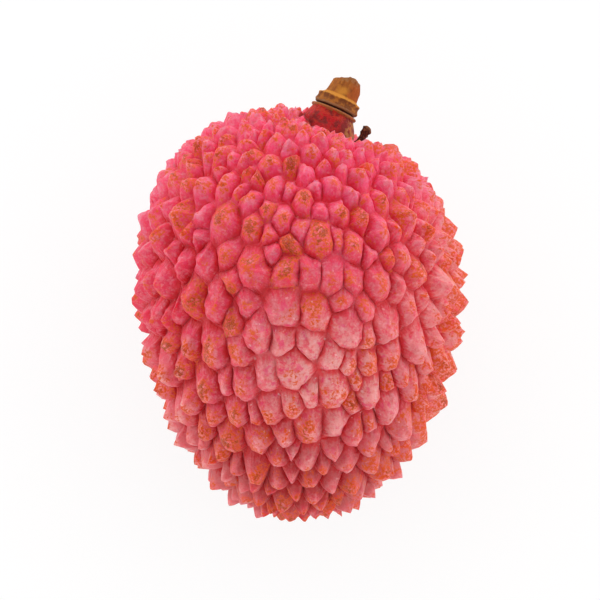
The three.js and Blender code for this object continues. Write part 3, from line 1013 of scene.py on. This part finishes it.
def paint_furrow_shade(rind):
    """Painted shade: deeper, darker reds in the furrows, less where they are faint. Gives how deep in one a
    place is.
    """
    depth = rind.ragged(rind.rho, rind.noise(EDGE_SIZE, 2), 0.1, 0.2)
    depth = rind.total(depth, rind.times(rind.left, 0.06))
    depth = rind.times((depth, 0.7, 1), rind.fade(rind.cleft, 0.5, 1))
    low = rind.math("MAXIMUM", rind.below, rind.times(rind.left, 0.5))
    shade_reds = (CROWN_FURROW_SHADE_AND_NECK_BLUSH_RED, rind.crown), (LOW_FURROW_SHADE_RED, low), (PALE_FURROW_SHADE_RED, rind.paler)
    # Painted shade in the furrows, by how deep in one a place is.
    rind.paint(rind.layers(FURROW_SHADE_RED, *shade_reds), depth)
    return depth


def spot_clusters(rind):
    """Noise of clusters: higher near the tips, on some tubercles and in some regions."""
    clusters = rind.times(rind.noise(CLUSTER_SIZE, 3, 0.6), CLUSTER_HEIGHT)
    near_tip = rind.ramp(rind.rho, 0.8, 0.1, 0, 0.1)
    some = rind.ramp(rind.chance, 0.25, 0.95, -0.06, 0.06)
    regions = rind.ramp(rind.noise(SPOT_REGION_SIZE, 1), 0.35, 0.65, -0.03, 0.03)
    return rind.total(clusters, near_tip, some, regions)


def spot_shift(rind):
    """What is added to the clusters, so that some sides of the fruit have more spots."""
    beside = rind.ramp(rind.off_middle, 0.3 * half.x, 0.8 * half.x)
    above = rind.ramp(rind.below, 1, 0)
    lower_left = rind.times((rind.left, 0.15, 0.6), rind.below, rind.at_rim(*SPOTS_LOWER_LEFT))
    right_end = rind.times(rind.right, rind.blossom, SPOTS_RIGHT_END)
    return rind.total(
        rind.times(rind.left, above, rind.at_rim(*SPOTS_UPPER_LEFT)),
        lower_left,
        rind.times(beside, rind.below, SPOTS_LOWER_SIDES),
        rind.total(rind.times(rind.right, rind.rim, SPOTS_RIGHT_RIM), right_end),
        rind.times(rind.blossom, SPOTS_BLOSSOM_END),
        rind.times(rind.region(*SHOULDER_REGION), SPOTS_SHOULDER),
        rind.ramp(beside, 1, 0, 0, SPOTS_MIDDLE),
    )


def paint_spots(rind, depth):
    """Orange grains that grow together in clusters, some with brown middles, and pale specks, partly wax and
    hairs on the rind, partly painted glints.
    """
    by_neck = rind.near(neck_top, Vector((1, 1, 1)) * (NECK_REGION * neck_radius))
    fewer = rind.total(rind.times(rind.crown, SPOTS_CROWN), rind.times(by_neck, SPOTS_BY_NECK))
    shares = (rind.times(rind.pale, SPOTS_PALE), rind.times(depth, SPOTS_FURROW), fewer, SPOTS_EVERYWHERE)
    spots = rind.total(spot_clusters(rind), spot_shift(rind), *shares)
    grains = rind.times(rind.noise(SPOT_GRAIN_SIZE, 2, 0.6), SPOT_GRAIN_HEIGHT)
    middles = rind.total(spots, grains, rind.times(rind.right, rind.at_rim(*BROWN_RIGHT)))
    spots = rind.total(rind.math("MINIMUM", spots, SPOTS_MOST), grains)
    rind.paint(ORANGE, (spots, 0.5, 0.62, 0, 0.35))
    rind.paint(ORANGE, (spots, 0.567, 0.623))
    broken = rind.ramp(rind.noise(BROWN_GRAIN_SIZE, 2, 0.6), 0.4, 0.6, 0.35, 1)
    rind.paint(SPOT_BROWN, (middles, 0.64, 0.72), broken)
    # Pale specks: partly wax and hairs on the rind, partly painted glints.
    specks = rind.ramp(rind.noise(SPECK_AND_GLINT_SIZE, 1, 0.3), 0.7, 0.8)
    rind.paint(PALE_SPECK_AND_GLINT, specks, (rind.pale, 0, 0.6, 0.25, 0.7))


def paint_neck(rind):
    """The neck's own colours, which end raggedly in a red blush on the ridges around it."""
    edge = rind.ragged(rind.neck, rind.noise(NECK_EDGE_SIZE, 3, 0.6), 0.35)
    # The neck's own red blush on the ridges around it, in the crown's furrow red.
    rind.paint(CROWN_FURROW_SHADE_AND_NECK_BLUSH_RED, (rind.neck, 0, 0.6, 0, 0.65))
    rind.paint(neck_colour(rind), (edge, 0.35, 0.65))


def rind_material():
    rind = RindGraph()
    paint_skin(rind)
    paint_top_highlights(rind)
    paint_blossom_end(rind)
    depth = paint_furrow_shade(rind)
    paint_spots(rind, depth)
    paint_neck(rind)
    fine = rind.total(rind.times(rind.streaks, rind.margin), rind.times(rind.grain, 0.8))
    rind.bump(fine, 0.13 * MM)
    rough = rind.total(rind.ramp(rind.mottle, 0.3, 0.7, 0.38, 0.5), rind.times(rind.neck, 0.3))
    return rind.finish(
        Base_Color=rind.colour,
        Roughness=rough,
        Subsurface_Weight=0.6,
        Subsurface_Radius=(1, 0.1, 0.12),
        Subsurface_Scale=MM,
        Specular_IOR_Level=0.35,
        Sheen_Weight=0.15,
        Sheen_Roughness=0.5,
        Sheen_Tint=(1, 0.75, 0.82, 1),
    )


def neck_colour(rind):
    """Dark red and orange under a brown lip, with a scorched side at the right."""
    depth = rind.distance_along(neck_top, -stalk_axis)
    blotches = rind.noise(0.6 * MM, 3, 0.6)
    side = rind.ragged(rind.distance_along(neck_top, stalk.right), blotches, 0.3 * MM, 0.2)
    return rind.layers(
        NECK_DARK,
        (NECK_RED, (blotches, 0.38, 0.58)),
        (NECK_ORANGE, rind.band(depth, 0.2 * MM, 0.8 * MM, 0.15 * MM), (blotches, 0.35, 0.55)),
        (NECK_DARK, (side, 0.45 * neck_radius, 0.7 * neck_radius)),
        (NECK_GOLD, (side, 0.8 * neck_radius, 0.95 * neck_radius), (blotches, 0.4, 0.55)),
        (SPOT_BROWN, (rind.noise(0.3 * MM, 1), 0.66, 0.72)),
        (NECK_LIP, (rind.ragged(depth, blotches, 0.08 * MM), 0.3 * MM, 0.24 * MM)),
    )


def peg_colour(stub, height, streaks, blotches):
    """Fibrous bark, redder at the right, with a gold patch on top and a grey torn end."""
    side = stub.ragged(stub.distance_along(neck_top, stalk.right), blotches, 0.4 * MM, 0.2)
    patch_place = neck_top + stalk_axis * (1.75 * MM) + Vector((0, 0, PEG_RADIUS))
    return stub.layers(
        BARK_DARK,
        (BARK, (streaks, 0.3, 0.6)),
        (BARK_LIGHT, (blotches, 0.45, 0.62, 0, 0.75)),
        (BARK_RED, (side, 0.3 * MM, 1 * MM, 0, 0.7)),
        (GOLD_WOOD, stub.near(patch_place, Vector((0.8, 0.6, 1)) * MM), 0.8),
        (GREY_WOOD_AND_HIGHLIGHT, (stub.ragged(height, blotches, 0.4 * MM), 2.7 * MM, 3.1 * MM), 0.6),
    )


def stub_material():
    """A brown collar with a grey foot that is a painted highlight and a gold edge, under the peg and over a
    recess painted near black as shade.
    """
    stub = Graph("stub")
    height = stub.distance_along(neck_top, stalk_axis)
    streaks = stub.noise(0.22 * MM, 3, 0.6, stub.drawn_out(stalk_axis, 6))
    blotches = stub.noise(0.55 * MM, 3, 0.6)
    wavy = stub.ragged(height, blotches, 0.08 * MM, 0.2)
    wood = stub.layers(
        COLLAR_DARK,
        (COLLAR_BROWN, (blotches, 0.4, 0.6)),
        # Painted highlight: a grey band along the collar's lower edge.
        (GREY_WOOD_AND_HIGHLIGHT, stub.band(wavy, 0.2 * MM, 0.38 * MM, 0.06 * MM)),
        (peg_colour(stub, height, streaks, blotches), (height, 1.12 * MM, 1.2 * MM)),
        (GOLD_WOOD, stub.band(wavy, 1.08 * MM, 1.42 * MM, 0.05 * MM), 0.9),
        # Painted shade: the recess under the collar, nearly black.
        (RECESS_SHADE, (height, 0.21 * MM, 0.17 * MM)),
    )
    stub.bump(stub.total(streaks, stub.times(stub.noise(0.1 * MM, 2), 0.5)), 0.06 * MM)
    return stub.finish(Base_Color=wood, Roughness=0.75, Specular_IOR_Level=0.25)


def carpel_material():
    """Nearly black, a little browner towards its knob."""
    graph = Graph("carpel")
    foot, end = poles("aborted_carpel")
    height = graph.distance_along(foot, (end - foot).normalized())
    blotches = graph.noise(0.22 * MM, 3, 0.6)
    knob = graph.ragged(height, blotches, 0.25 * MM)
    dry = graph.layers(
        CARPEL_BLACK,
        (CARPEL_BROWN, (blotches, 0.4, 0.65)),
        (COLLAR_BROWN, (knob, 1.15 * MM, 1.5 * MM), 0.3),
    )
    graph.bump(blotches, 0.08 * MM)
    return graph.finish(Base_Color=dry, Roughness=0.7, Specular_IOR_Level=0.25)


make_rind()
make_stub()
make_carpel()

# The table, the light and the camera.


def make_floor():
    mesh = bpy.data.meshes.new("floor")
    corners = [(x * FLOOR_HALF, y * FLOOR_HALF, 0) for x, y in ((-1, -1), (1, -1), (1, 1), (-1, 1))]
    mesh.from_pydata(corners, [], [(0, 1, 2, 3)])
    floor = linked("floor", mesh)
    mesh.materials.append(floor_material())


def floor_material():
    """Pale, and to the camera, directly or in a reflection, as white as paper outside the shadow."""
    material = bpy.data.materials.new("table")
    material.use_nodes = True
    nodes = Nodes(material.node_tree)
    nodes.tree.nodes.clear()
    path = nodes.add("LightPath").outputs
    seen = path["Is Camera Ray"]
    for output in ("Is Glossy Ray", "Is Transmission Ray"):
        seen = nodes.math("MAXIMUM", seen, path[output])
    plain = nodes.step("BsdfDiffuse", (*[FLOOR_ALBEDO] * 3, 1))
    dim = nodes.step("BsdfDiffuse", (*[FLOOR_SHADED] * 3, 1))
    glow = nodes.add("Emission", Strength=FLOOR_WHITE - FLOOR_SHADED * FLOOR_LIGHT)
    white = nodes.step("AddShader", dim, glow.outputs[0])
    choice = nodes.step("MixShader", seen, plain, white)
    nodes.add("OutputMaterial", Surface=choice)
    return material


def make_light():
    """A soft surround, brighter near the table, as in a light tent, and to the right and the stalk end."""
    world = bpy.data.worlds.new("studio")
    bpy.context.scene.world = world
    world.use_nodes = True
    nodes = Nodes(world.node_tree)
    direction = nodes.add("TexCoord").outputs["Generated"]
    height = nodes.add("SeparateXYZ", Vector=direction).outputs["Z"]
    level = nodes.add("MapRange", Value=height, To_Min=TENT_SIDE_LEVEL, To_Max=TENT_TOP_LEVEL)
    slope = nodes.vector("DOT_PRODUCT", direction, TENT_SLOPE, "Value")
    background = nodes.tree.nodes["Background"]
    background.inputs["Color"].default_value = (1, 1, 1, 1)
    nodes.feed(background.inputs["Strength"], nodes.math("ADD", level.outputs[0], slope))


def make_camera():
    data = bpy.data.cameras.new("camera")
    camera = linked("camera", data)
    low, high = cad_box
    back = Vector((0, -math.cos(CAMERA_ELEVATION), math.sin(CAMERA_ELEVATION)))
    camera.location = (low + high) / 2 + back * CAMERA_DISTANCE
    camera.rotation_mode = "QUATERNION"
    camera.rotation_quaternion = (-back).to_track_quat("-Z", "Y")
    data.sensor_width = SENSOR
    data.lens = SENSOR * CAMERA_DISTANCE / VIEW_WIDTH
    data.clip_start, data.clip_end = CAMERA_CLIP
    bpy.context.scene.camera = camera


make_floor()
make_light()
make_camera()
bpy.context.scene.view_settings.view_transform = "Standard"
